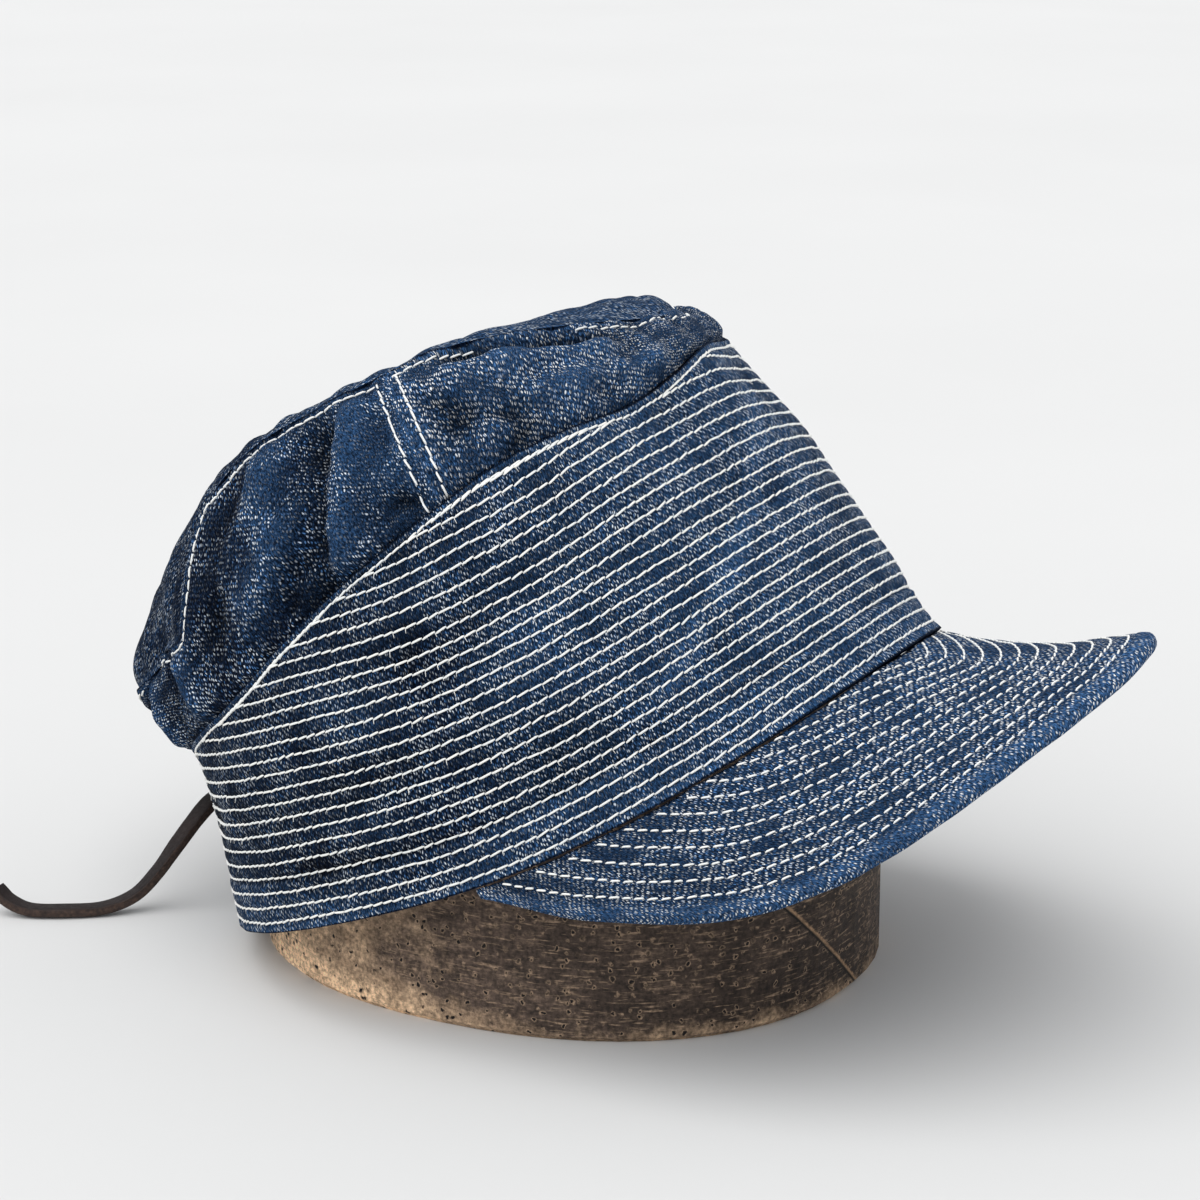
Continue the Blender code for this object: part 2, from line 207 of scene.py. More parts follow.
def runLength(points, axis=0):
    # length along a line up to each of its points
    steps = np.diff(points, axis=axis, prepend=np.take(points, [0], axis))
    return np.cumsum(np.linalg.norm(steps, axis=-1), axis=axis)


def evenRoute(points, step):
    # even points along a smooth curve through the route
    route = np.array(points, float)
    padded = np.vstack([2 * route[0] - route[1], route, 2 * route[-1] - route[-2]])
    fine = []
    for i in range(len(route) - 1):
        fine.extend(smoothBetween(*padded[i:i + 4], t) for t in np.linspace(0, 1, 24, endpoint=False))
    fine = np.array([*fine, route[-1]])
    walked = runLength(fine)
    marks = np.linspace(0, walked[-1], round(walked[-1] / step) + 1)
    return np.stack([np.interp(marks, walked, fine[:, k]) for k in range(3)], 1), walked[-1]


def leatherMaterial():
    material, add, shader = newMaterial("dark lace leather", specular=0.3)
    place = objectPlace(add)
    grain = noise(add, place, 900.0, 6.0, 0.65)
    base = ramp(add, noise(add, place, 120.0, 3.0), (0.3, lace["dark"]), (0.7, lace["light"]))
    raw = ramp(add, grain, (0.35, lace["rawDark"]), (0.7, lace["rawLight"]))
    share = sums(add, "MULTIPLY", attribute(add, "cutEdge"), grain)
    wire(material, mixColour(add, share, base, raw), shader, "Base Color")
    wire(material, ramp(add, grain, (0.3, 0.55), (0.75, 0.85)), shader, "Roughness")
    addBumps(material, add, shader, (0.5, 0.25 * mm, grain))
    return material


def makeLace():
    route, length = evenRoute([[c * mm for c in p] for p in lace["route"]], lace["step"] * mm)
    half, thin = lace["width"] * mm / 2, lace["thick"] * mm / 2
    rimPoints = lace["rimPoints"]
    turn = np.arange(rimPoints) * 2 * np.pi / rimPoints
    # rounded box section
    side = half * np.sign(np.cos(turn)) * np.abs(np.cos(turn)) ** 0.35
    rise = thin * np.sign(np.sin(turn)) * np.abs(np.sin(turn)) ** 0.45
    atEdge = np.clip((np.abs(side) / half - 0.86) / 0.14, 0, 1)
    bpy.ops.mesh.primitive_cylinder_add(vertices=rimPoints, radius=half, depth=1, end_fill_type="NGON")
    obj = bpy.context.object
    pickOnly(obj)
    rings = len(route)
    bm = bmesh.new()
    along = np.gradient(route, axis=0)
    along /= np.linalg.norm(along, axis=1, keepdims=True)
    upward = np.array([0, 0, 1.0])
    across = np.cross(upward, along)
    across /= np.linalg.norm(across, axis=1, keepdims=True)
    over = np.cross(along, across)
    fuzz = chance.normal(0, lace["edgeRough"] * mm, (rings, rimPoints)) * atEdge
    for i in range(1, rings):
        fuzz[i] = 0.55 * fuzz[i] + 0.45 * fuzz[i - 1]
    rows = []
    for i in range(rings):
        wide = (side + np.sign(side) * fuzz[i])[:, None] * across[i]
        rows.append([bm.verts.new(p) for p in route[i] + wide + rise[:, None] * over[i]])
    for i in range(rings - 1):
        for j in range(rimPoints):
            k = (j + 1) % rimPoints
            bm.faces.new((rows[i][j], rows[i][k], rows[i + 1][k], rows[i + 1][j]))
    bm.faces.new(rows[0])
    bm.faces.new(rows[-1])
    bmesh.ops.recalc_face_normals(bm, faces=bm.faces)
    bm.to_mesh(obj.data)
    bm.free()
    edge = obj.data.attributes.new("cutEdge", "FLOAT", "POINT")
    edge.data.foreach_set("value", np.tile(atEdge, rings).astype(np.float32))
    bpy.ops.object.shade_smooth_by_angle(angle=deg(50))
    finishPiece(obj, "leather_lace", leatherMaterial(), "dark_leather", "back_lace")
    print("lace", round(length * 1000, 1), "mm")


makeLace()

# shape of the cap: the same named sizes and half tables as its source
cap = dict(hemLong=0.1, hemWide=0.0873, hemEgg=0.0735, hemTilt=deg(22), frontLift=0.0169, hemClear=0.0013,
           forward=0.008, crownHigh=0.1312, swell=(0.0045, 0.003, -0.0015), kick=0.003, kickSpan=14.0,
           puff=0.0075, topSkew=0.20, tipSkew=0.12, tipLean=0.15, tipRound=0.65, sideSeam=deg(72))
rowStep = deg(15)
# rows every 15 degrees from the front: half width, way back, height, as shares of the sizes above
bandTop = [(0, -.289, .924), (.251, -.274, .901), (.485, -.219, .867), (.684, -.135, .844),
           (.838, -.049, .798), (.935, .066, .703), (.968, .206, .585), (.945, .416, .432),
           (.865, .626, .280), (.722, .801, .173), (.515, .951, .085), (.263, 1.041, .024), (0, 1.071, -.006)]
tipSeam = [(0, -.184, .970), (.195, -.159, .966), (.378, -.074, .958), (.533, .036, .947),
           (.647, .156, .928), (.704, .306, .878), (.710, .466, .821), (.693, .641, .737),
           (.655, .806, .605), (.605, .900, .440), (.550, .995, .285), (.410, 1.170, .160), (0, 1.250, .080)]
tipSpine = [(-.184, .970), (-.144, .979), (-.064, .981), (.046, .968), (.196, .938), (.356, .893),
            (.526, .832), (.726, .748), (.936, .653), (1.120, .535), (1.250, .380), (1.340, .215), (1.250, .080)]
puffShares = [0.2, 0.4, 0.6, 0.67, 0.8, 0.7, 0.4]
middle = np.array([0, -cap["forward"], cap["hemClear"] + cap["hemLong"] * math.sin(cap["hemTilt"])])


def wrapped(angle):
    return (angle + np.pi) % (2 * np.pi) - np.pi


def splineRow(values, place, sign, tail=1.0):
    # smooth value between the rows of a half table, mirrored at the front
    values = np.array(values, float)
    last = values[-2] * sign if tail else 2 * values[-1] - values[-2]
    longer = np.concatenate([[sign * values[1]], values, [last]])
    low = np.clip(place.astype(int), 0, len(values) - 2)
    t = place - low
    return smoothBetween(*(longer[low + k] for k in range(4)), t)


def halfTable(table, index, angle, odd=False):
    turn = wrapped(angle)
    found = splineRow([row[index] for row in table], np.abs(turn) / rowStep, -1 if odd else 1)
    return np.where(turn < 0, -found, found) if odd else found


def hemPoint(angle):
    c, s = np.cos(angle), np.sin(angle)
    lift = cap["frontLift"] * np.maximum(c, 0) ** 2
    tilt = cap["hemTilt"]
    return middle + np.stack([cap["hemWide"] * s * (1 - cap["hemEgg"] * c),
                              lift * math.sin(tilt) - cap["hemLong"] * c * math.cos(tilt),
                              lift * math.cos(tilt) + cap["hemLong"] * c * math.sin(tilt)], -1)


def ringPoint(table, angle, skew, lean):
    x = halfTable(table, 0, angle, True) * cap["hemWide"]
    y = halfTable(table, 1, angle) * cap["hemLong"]
    z = halfTable(table, 2, angle) * cap["crownHigh"]
    front = np.maximum(np.cos(angle), 0)
    return middle + np.stack([x, y + skew * x * front, z - lean * x * front], -1)


def topPoint(angle):
    return ringPoint(bandTop, angle, cap["topSkew"], 0.0)


def seamPoint(angle):
    return ringPoint(tipSeam, angle, cap["tipSkew"], cap["tipLean"])


def outward(angle):
    return np.stack([np.sin(angle), -np.cos(angle), 0 * angle], -1)


def bandPoint(angle, v):
    low, high = hemPoint(angle), topPoint(angle)
    front, back = np.maximum(np.cos(angle), 0), np.maximum(-np.cos(angle), 0)
    a, b, c = cap["swell"]
    swell = b + (a - b) * front + (c - b) * back
    kick = cap["kick"] * front * (1 - np.exp(-cap["kickSpan"] * v)) * (1 - v)
    return low + (high - low) * v[..., None] + outward(angle) * (swell * 4 * v * (1 - v) - kick)[..., None]


def wallPoint(angle, v):
    low, high = topPoint(angle), seamPoint(angle)
    share = np.interp(np.abs(wrapped(angle)) / (2 * rowStep), range(len(puffShares)), puffShares)
    along = high - low
    along = along / np.linalg.norm(along, axis=-1, keepdims=True)
    side = outward(angle) + np.stack([0 * angle, 0 * angle, 0.4 + 0.9 * np.cos(angle)], -1)
    side = side - along * (side * along).sum(-1, keepdims=True)
    side = side / np.linalg.norm(side, axis=-1, keepdims=True)
    return low + (high - low) * v[..., None] + side * (cap["puff"] * share * 4 * v * (1 - v))[..., None]


def tipPoint(angle, t):
    edge = seamPoint(np.where(t >= 0, angle, -angle))
    spine = middle + np.stack([0 * angle, halfTable(tipSpine, 0, angle) * cap["hemLong"],
                               halfTable(tipSpine, 1, angle) * cap["crownHigh"]], -1)
    turn = np.abs(t) * np.pi / 2
    reach = cap["tipRound"] * np.sin(turn) + (1 - cap["tipRound"]) * np.abs(t)
    drop = cap["tipRound"] * (1 - np.cos(turn)) + (1 - cap["tipRound"]) * np.abs(t)
    return spine + (edge - spine) * np.stack([reach, drop, drop], -1)


def unit(vectors):
    return vectors / np.maximum(np.linalg.norm(vectors, axis=-1, keepdims=True), 1e-12)


def gridNormals(points, wrapAround=False):
    if wrapAround:
        # the last row repeats the first one
        ring = points[:-1]
        around = np.roll(ring, -1, 0) - np.roll(ring, 1, 0)
        around = np.concatenate([around, around[:1]])
    else:
        around = np.gradient(points, axis=0)
    return unit(np.cross(around, np.gradient(points, axis=1)))


def upNormals(points):
    # normals of a sheet whose middle looks up
    normal = gridNormals(points)
    return normal * np.sign(normal[points.shape[0] // 2, points.shape[1] // 2, 2])


def bell(distance, width):
    return np.exp(-(distance / width) ** 2)


def step(value, low, high):
    t = np.clip((value - low) / (high - low), 0, 1)
    return t * t * (3 - 2 * t)


def fromRow(distance, piece):
    # way in mm to the nearest row of stitches
    phase = (distance - piece["firstRow"]) / piece["rowGap"]
    return np.abs(phase - np.rint(phase)) * piece["rowGap"]


def softNoise(seed, u, v, size):
    # smooth, repeatable relief from a few crossing waves
    draw = np.random.default_rng(seed)
    total = 0 * u
    for k in range(7):
        turn = draw.uniform(0, np.pi)
        wave = size * draw.uniform(0.6, 1.7)
        shift = draw.uniform(0, 2 * np.pi)
        total = total + np.sin((u * np.cos(turn) + v * np.sin(turn)) * 2 * np.pi / wave + shift)
    return total / 2.6


def edgeDistance(points, edge):
    # distance in mm from each point to a line
    flatPoints = points.reshape(-1, 3)
    best = np.full(len(flatPoints), 1e9)
    for a, b in zip(edge, edge[1:]):
        ab = b - a
        t = np.clip(((flatPoints - a) @ ab) / max(ab @ ab, 1e-15), 0, 1)
        best = np.minimum(best, ((flatPoints - a - t[:, None] * ab) ** 2).sum(1))
    return np.sqrt(best).reshape(points.shape[:-1]) * 1000


def addRelief(points, height, wrapAround=False):
    return points + gridNormals(points, wrapAround) * height[..., None]


# cloth shells: a grid is moved into shape, joined and given its wall
def clothGrid(points, flat, wear, deep, joined=False):
    across, up = points.shape[:2]
    deselectAll()
    bpy.ops.mesh.primitive_grid_add(x_subdivisions=across - 1, y_subdivisions=up - 1, size=2)
    obj = bpy.context.object
    mesh = obj.data
    place = np.empty(len(mesh.vertices) * 3)
    mesh.vertices.foreach_get("co", place)
    place = place.reshape(-1, 3)
    i = np.rint((place[:, 0] + 1) / 2 * (across - 1)).astype(int)
    j = np.rint((place[:, 1] + 1) / 2 * (up - 1)).astype(int)
    mesh.vertices.foreach_set("co", points[i, j].ravel())
    corner = np.empty(len(mesh.loops), int)
    mesh.loops.foreach_get("vertex_index", corner)
    mesh.uv_layers[0].name = "cloth"
    mesh.uv_layers[0].data.foreach_set("uv", flat[i, j][corner].ravel())
    # no flecks on the turned-in edges
    wear = np.where((np.arange(up) == 0) | (np.arange(up) == up - 1), -2.0, wear)
    # wear pales and flecks the cloth; deep carries the painted shade of folds and grooves
    for name, values in (("wear", wear), ("deep", np.clip(deep, 0, 1) + 0 * wear)):
        mesh.attributes.new(name, "FLOAT", "POINT").data.foreach_set("value", values[i, j].astype(np.float32))
    mesh.update()
    if joined:
        editAll(obj)
        bpy.ops.mesh.remove_doubles(threshold=0.00002)
        bpy.ops.object.mode_set(mode="OBJECT")
    return obj


def facesOut(obj, centre):
    # turns the shell's faces if they look towards its middle
    if sum((p.center - centre).dot(p.normal) * p.area for p in obj.data.polygons) < 0:
        editAll(obj)
        bpy.ops.mesh.flip_normals()
        bpy.ops.object.mode_set(mode="OBJECT")


def clothPiece(names, grid, look, wall, centre=(0, 0.02, 0.08), joined=False):
    # names of the piece, its material, its slot and the node it stands for
    obj = clothGrid(*grid, joined)
    facesOut(obj, Vector(centre))
    useModifier(obj, "SOLIDIFY", thickness=wall * mm, offset=-1)
    bpy.ops.object.shade_smooth_by_angle(angle=deg(40))
    finishPiece(obj, names[0], denimMaterial(names[1], look), *names[2:])
    return obj


# denim: indigo warp, pale weft flecks, worn edges
def denimMaterial(name, look):
    material, add, shader = newMaterial(name, roughness=1.0, specular=0.05)
    inMm = mapped(add, (add("ShaderNodeUVMap", {"uv_map": "cloth"}), "UV"), (1000.0, 1000.0, 1.0))
    # weft flecks lie in short dashes along the warp, in slanting twill lines
    parts = add("ShaderNodeSeparateXYZ", None, Vector=inMm)
    across = sums(add, "MULTIPLY_ADD", noise(add, inMm, 0.5, 1.0, plane="2D"), 0.9, (parts, "X"))
    slant = sums(add, "MULTIPLY_ADD", across, look["twillSlant"], (parts, "Y"))
    twill = (add("ShaderNodeCombineXYZ", None, X=across, Y=slant), "Vector")
    cells = add("ShaderNodeTexVoronoi", {"voronoi_dimensions": "2D"}, Scale=look["fleckScale"], Randomness=0.6,
                Vector=mapped(add, twill, (1.6, 1.06 / look["fleckLong"], 1.0)))
    dots = ramp(add, (cells, "Distance"), (0.15, 1.0), (look["fleckWide"], 0.0))
    cellShade = add("ShaderNodeSeparateColor", None, Color=(cells, "Color"))
    chosen = ramp(add, (cellShade, "Red"), (0.05, 0.10), (0.72, 1.0))
    weft = ramp(add, (cellShade, "Green"), (0.20, look["paleBlue"]), (0.62, look["weft"]))
    patchy = ramp(add, noise(add, inMm, 0.085, 4.0, 0.6, "2D"), (look["bare"], 0.10), (0.58, 1.0))
    worn = attribute(add, "wear")
    more = sums(add, "MULTIPLY_ADD", worn, look["wornFlecks"], look["fleckShare"])
    fleck = sums(add, "MULTIPLY", sums(add, "MULTIPLY", dots, chosen), patchy)
    fleck = sums(add, "MULTIPLY", fleck, more, clamp=True)
    # yarn: fine streaks along the warp, blue where they catch wear
    yarn = noise(add, mapped(add, inMm, (2.6, 0.95, 1.0)), 1.0, 5.0, 0.75, "2D")
    colour = ramp(add, yarn, (0.40, look["dark"]), (0.55, look["middle"]), (0.72, look["light"]))
    mottle = noise(add, inMm, 0.05, 5.0, 0.6, "2D")
    tint = ramp(add, mottle, (0.32, look["mottleLow"]), (0.68, look["mottleHigh"]))
    colour = mixColour(add, 1.0, colour, tint, "MULTIPLY")
    rubbed = sums(add, "MULTIPLY", worn, ramp(add, yarn, (0.44, 0.15), (0.60, 1.0)), clamp=True)
    colour = mixColour(add, rubbed, colour, (*look["worn"], 1))
    colour = mixColour(add, fleck, colour, weft)
    # painted shade: folds, grooves and tucks get darker colour the deeper each place lies, as well as keeping
    # their dark dye
    foldShadeTint = ramp(add, attribute(add, "deep"), (0.0, 1.0), (1.0, look["paintedFoldShade"]))
    wire(material, mixColour(add, 1.0, colour, foldShadeTint, "MULTIPLY"), shader, "Base Color")
    pucker = noise(add, mapped(add, inMm, (0.45, 0.2, 1.0)), 1.0, plane="2D")
    weave = sums(add, "MULTIPLY_ADD", yarn, 1.1, dots)
    addBumps(material, add, shader, (0.7, look["pucker"] * mm, pucker), (0.9, 0.25 * mm, weave))
    return material


# colours of the yarns, then the size, number, length and width of the flecks, how the cloth lies and how dark
# the painted shade in its folds gets
indigoLook = dict(dark=(0.0004, 0.001, 0.003), middle=(0.0040, 0.0115, 0.0310), light=(0.018, 0.051, 0.126),
                  worn=(0.043, 0.113, 0.255), weft=(0.84, 0.92, 1.0), paleBlue=(0.085, 0.215, 0.48),
                  mottleLow=(0.60, 0.62, 0.68), mottleHigh=(1.35, 1.32, 1.25),
                  fleckScale=1.06, fleckShare=1.12, fleckLong=1.6, fleckWide=0.34, wornFlecks=0.5, bare=0.34,
                  twillSlant=0.8, pucker=1.0, paintedFoldShade=0.28)


# band: rows of stitching parallel to the hem, cut off by the top edge, in mm
band = dict(around=300, up=150, wall=2.6, firstRow=2.6, rowGap=3.65, rows=25, topEdge=1.7,
            grooveDeep=0.34, hemFold=12.2, hemThick=0.45)
hemRadius = 94.0    # mm, to unroll the band


def bandHeight(angle):
    # length of the meridian from hem to top edge, in mm
    return np.linalg.norm(topPoint(angle) - hemPoint(angle), axis=-1) * 1000 * 1.006


def bandRelief(angle, v):
    tall = bandHeight(angle)
    d = v * tall
    inRows = step(d, 0.5, 2.0) * (1 - step(d, tall - 3.4, tall - 2.0))
    height = -band["grooveDeep"] * bell(fromRow(d, band), 0.75) * inRows
    # folded hem: three rows stand proud, with a furrow above
    height += band["hemThick"] * (1 - step(d, band["hemFold"] - 0.5, band["hemFold"] + 0.4))
    height -= 0.25 * bell(d - band["hemFold"] - 0.7, 0.7)
    # folded top edge, and soft dents
    height -= 0.35 * bell(d - (tall - band["topEdge"]), 0.6)
    height += 0.25 * bell(d - (tall - 0.5), 0.8)
    around = angle * hemRadius
    height += 0.45 * softNoise(3, around, d * 1.6, 55.0) * step(d, 4, 14)
    height += 0.12 * softNoise(4, around, d, 14.0)
    # dents on the worn side: hem angle, way up, width around and up, depth
    for centre, way, wide, high, deep in bandDents:
        height -= deep * bell(wrapped(angle - deg(centre)) * hemRadius, wide) * bell(d - way * tall, high)
    return height * mm


# hem angle in degrees, share of the way up, half width around and up in mm, depth in mm
bandDents = [(-109, 0.17, 16, 6, 1.5), (-141, 0.60, 9, 7, 1.6), (-62, 0.30, 22, 10, 0.7),
             (-36, 0.45, 7, 26, 0.6), (-100, 0.62, 24, 7, 0.6), (112, 0.25, 18, 8, 1.2),
             (40, 0.50, 8, 24, 0.6), (150, 0.50, 12, 7, 1.0)]


def bandWear(angle, v):
    tall = bandHeight(angle)
    d = v * tall
    worn = 0.18 * (1 - step(d, band["hemFold"] - 1, band["hemFold"] + 1))
    worn += 0.35 * bell(d - 0.6, 1.2) + 0.35 * bell(d - (tall - 0.6), 1.3)
    streak = -41.5 + 86 * (v - 0.33)
    inStreak = step(v, 0.2, 0.34) * (1 - step(v, 0.74, 0.9))
    worn += bell(wrapped(angle - np.radians(streak)) * hemRadius, 5.0) * inStreak
    worn += 0.10 * (1 - bell(fromRow(d, band), 0.8))
    worn += 0.50 * (1 - step(np.abs(wrapped(angle)), deg(25), deg(98)))
    return np.clip(worn + 0.10 * softNoise(5, angle * hemRadius, d, 40.0), 0, 1)


def makeBand():
    turn = np.linspace(-np.pi, np.pi, band["around"] + 1)
    ups = np.linspace(0, 1, band["up"] + 1)
    angle, v = np.meshgrid(turn, ups, indexing="ij")
    relief = bandRelief(angle, v)
    points = addRelief(bandPoint(angle, v), relief, True)
    flat = np.stack([angle * hemRadius * mm, v * bandHeight(angle) * mm], -1)
    # how deep each place lies in the folds and grooves, for the painted shade; the band's sides and back are
    # made darker as well
    deep = -relief / mm / 1.6 - 0.2 + 0.45 * step(np.abs(wrapped(angle)), deg(40), deg(95))
    obj = clothPiece(("stitched_band", "band denim", "row_stitched_denim", "band"),
                     (points, flat, bandWear(angle, v), deep),
                     dict(indigoLook, fleckShare=0.9, wornFlecks=0.8), band["wall"], (0, 0, 0.08), True)
    print("band", len(obj.data.polygons))
    return obj


bandObj = makeBand()

# crown side: two pieces gathered into the band, joined by a felled seam at each side
crownSide = dict(frontAround=150, backAround=250, up=56, wall=1.6, tuck=0.9, strapHalf=3.4, strapHigh=0.5,
                 foldScale=2.1, foldTall=50.0, flatTall=55.0)
crownRadius = 78.0    # mm, to unroll the crown's side
# angle and share of the way up at both ends, half width in mm, height in mm (minus is a valley)
crownFolds = [(-87, 0.80, -94, 0.05, 4.0, -1.9), (-79, 0.80, -91, 0.12, 5.0, 1.7),
              (-99, 0.80, -103, 0.25, 9.0, 1.2), (-99, 0.22, -101, 0.10, 4.5, -1.6),
              (-78, 0.16, -71, 0.03, 3.5, -1.8), (-69, 0.66, -60, 0.40, 3.0, -0.9),
              (-64, 0.38, -52, 0.25, 4.0, -1.0), (-56, 0.06, -50, 0.10, 4.0, -1.1),
              (-60, 0.93, -27, 0.80, 4.5, -1.8), (-58, 0.74, -30, 0.60, 6.0, 1.2),
              (-45, 0.35, -20, 0.30, 6.0, 0.9), (-112, 0.70, -118, 0.20, 7.0, -1.0),
              (-126, 0.75, -128, 0.15, 6.0, 1.1), (-136, 0.70, -140, 0.20, 4.5, -1.2),
              (-150, 0.70, -149, 0.15, 5.0, 1.0), (-162, 0.70, -164, 0.15, 4.0, -1.2)]
crownFolds += [(-a, v, -b, w, width, high) for a, v, b, w, width, high in
               [(-84, 0.80, -90, 0.05, 5.0, -1.6), (-95, 0.75, -100, 0.15, 6.0, 1.4),
                (-108, 0.70, -112, 0.10, 5.0, -1.3), (-122, 0.75, -126, 0.15, 7.0, 1.1),
                (-138, 0.70, -142, 0.20, 5.0, -1.2), (-150, 0.70, -152, 0.15, 5.0, 1.0),
                (-64, 0.40, -54, 0.25, 4.0, -1.0), (-58, 0.90, -30, 0.80, 5.0, -1.4)]]


# the tip comes down over the side at the back: angle, share of the side's height left below its seam
seamDip = [(0, 1), (100, 1), (112, 0.99), (119, 0.975), (122, 0.84), (123.2, 0.66), (124, 0.52), (125.2, 0.46),
           (127.5, 0.455), (132.5, 0.52), (140, 0.69), (148, 0.88), (154, 1), (180, 1)]


def seamWay(angle):
    turn = np.degrees(np.abs(wrapped(angle)))
    ways = [np.interp(turn + shift, *np.transpose(seamDip)) for shift in (-1.2, -0.4, 0.4, 1.2)]
    return sum(ways) / 4


seamTurns = np.radians(np.linspace(-180, 180, 721))
seamLine = wallPoint(seamTurns, seamWay(seamTurns))


def crownRelief(angle, v):
    turn = wrapped(angle)
    tall = np.linalg.norm(seamPoint(angle) - topPoint(angle), axis=-1) * 1000
    around, d = turn * crownRadius, v * tall
    toSeam = edgeDistance(wallPoint(angle, v), seamLine[::2])
    height = 0 * angle
    for a, low, b, high, width, deep in crownFolds:
        run, climb = (deg(b) - deg(a)) * crownRadius, (high - low) * crownSide["foldTall"]
        px, py = around - deg(a) * crownRadius, (v - low) * crownSide["foldTall"]
        t = np.clip((px * run + py * climb) / (run * run + climb * climb), 0, 1)
        gap = np.hypot(px - t * run, py - t * climb)
        # valleys are creased, ridges are round
        height += deep * np.exp(-(gap / width) ** (1.25 if deep < 0 else 2))
    # folds die out towards the strap and the seam
    fromSeam = np.abs(np.abs(turn) - cap["sideSeam"]) * crownRadius
    height *= crownSide["foldScale"] * (1 - 0.75 * bell(fromSeam, 4.5)) * step(toSeam, 0.0, 5.0)
    # small gathers fanning up from the band and down from the tip seam
    calm = 0.35 + 0.65 * step(np.abs(turn), deg(60), deg(110))
    height += 0.55 * calm * np.exp(-d / 7.0) * np.sin(around / 1.9 + 1.3 * np.sin(around / 9.0))
    height += 0.30 * calm * np.exp(-toSeam / 5.0) * np.sin(around / 1.5 + 1.1 * np.sin(around / 7.0))
    height += 0.65 * softNoise(11, around, d, 18.0) * step(v, 0.02, 0.2)
    height += 0.22 * softNoise(12, around, d, 7.0)
    # the crown comes out from under the band's folded edge
    height -= crownSide["tuck"] * (1 - step(d, 0.2, 2.6))
    # felled seam: a flat raised strap with a groove at its stitches
    strap = 1 - step(fromSeam, crownSide["strapHalf"] - 0.3, crownSide["strapHalf"] + 0.5)
    height += crownSide["strapHigh"] * strap
    height -= 0.22 * bell(fromSeam - 2.7, 0.6) + 0.25 * bell(fromSeam, 0.45)
    # groove and ridge along the tip seam
    plain = 1 - 0.8 * step(np.abs(turn), deg(140), deg(158))
    height += plain * (0.30 * bell(toSeam - 0.4, 0.9) - 0.40 * bell(toSeam - 1.9, 0.8))
    return height * mm


def crownWear(angle, v):
    turn = wrapped(angle)
    fromSeam = np.abs(np.abs(turn) - cap["sideSeam"]) * crownRadius
    worn = 0.45 * bell(fromSeam, 0.6) + 0.3 * bell(fromSeam - 3.6, 0.7)
    worn += 0.4 * bell(edgeDistance(wallPoint(angle, v), seamLine[::2]), 1.1)
    worn += np.clip(crownRelief(angle, v) / mm, 0, 2.5) * 0.22
    worn += 0.45 * (1 - step(np.abs(turn), deg(60), deg(105)))
    return np.clip(worn, 0, 1)


def makeCrownSide(name, slotName, first, last, count, look):
    turn = np.linspace(first, last, count + 1)
    ups = np.linspace(0, 1, crownSide["up"] + 1)
    angle, v = np.meshgrid(turn, ups, indexing="ij")
    v = v * seamWay(angle)
    relief = crownRelief(angle, v)
    points = addRelief(wallPoint(angle, v), relief)
    flat = np.stack([angle * crownRadius * mm, v * crownSide["flatTall"] * mm], -1)
    # the last value gives painted shade: the deeper a place lies in a fold, the darker its colour
    obj = clothPiece((name + "_cloth", name + " denim", slotName, name),
                     (points, flat, crownWear(angle, v), -relief / mm / 2.6), look, crownSide["wall"])
    print(name, len(obj.data.polygons))
    return obj


seamSlit = 0.01 / crownRadius
frontLook = dict(indigoLook, fleckLong=2.7, fleckScale=1.1, fleckShare=1.45, fleckWide=0.355, bare=0.36,
                 weft=(0.95, 0.98, 1.0))
backLook = dict(indigoLook, fleckShare=1.2, bare=0.44)
sideSeam = cap["sideSeam"]
frontObj = makeCrownSide("crown_side_front", "front_denim", seamSlit - sideSeam, sideSeam - seamSlit,
                         crownSide["frontAround"], frontLook)
backObj = makeCrownSide("crown_side_back", "back_denim", sideSeam + seamSlit, 2 * math.pi - sideSeam - seamSlit,
                        crownSide["backAround"], backLook)

# tip: the top panel, puffed over its seam and drooping to the back
tip = dict(along=220, across=110, hang=22, wall=1.6, nearEnd=deg(1.2), bulge=1.2)


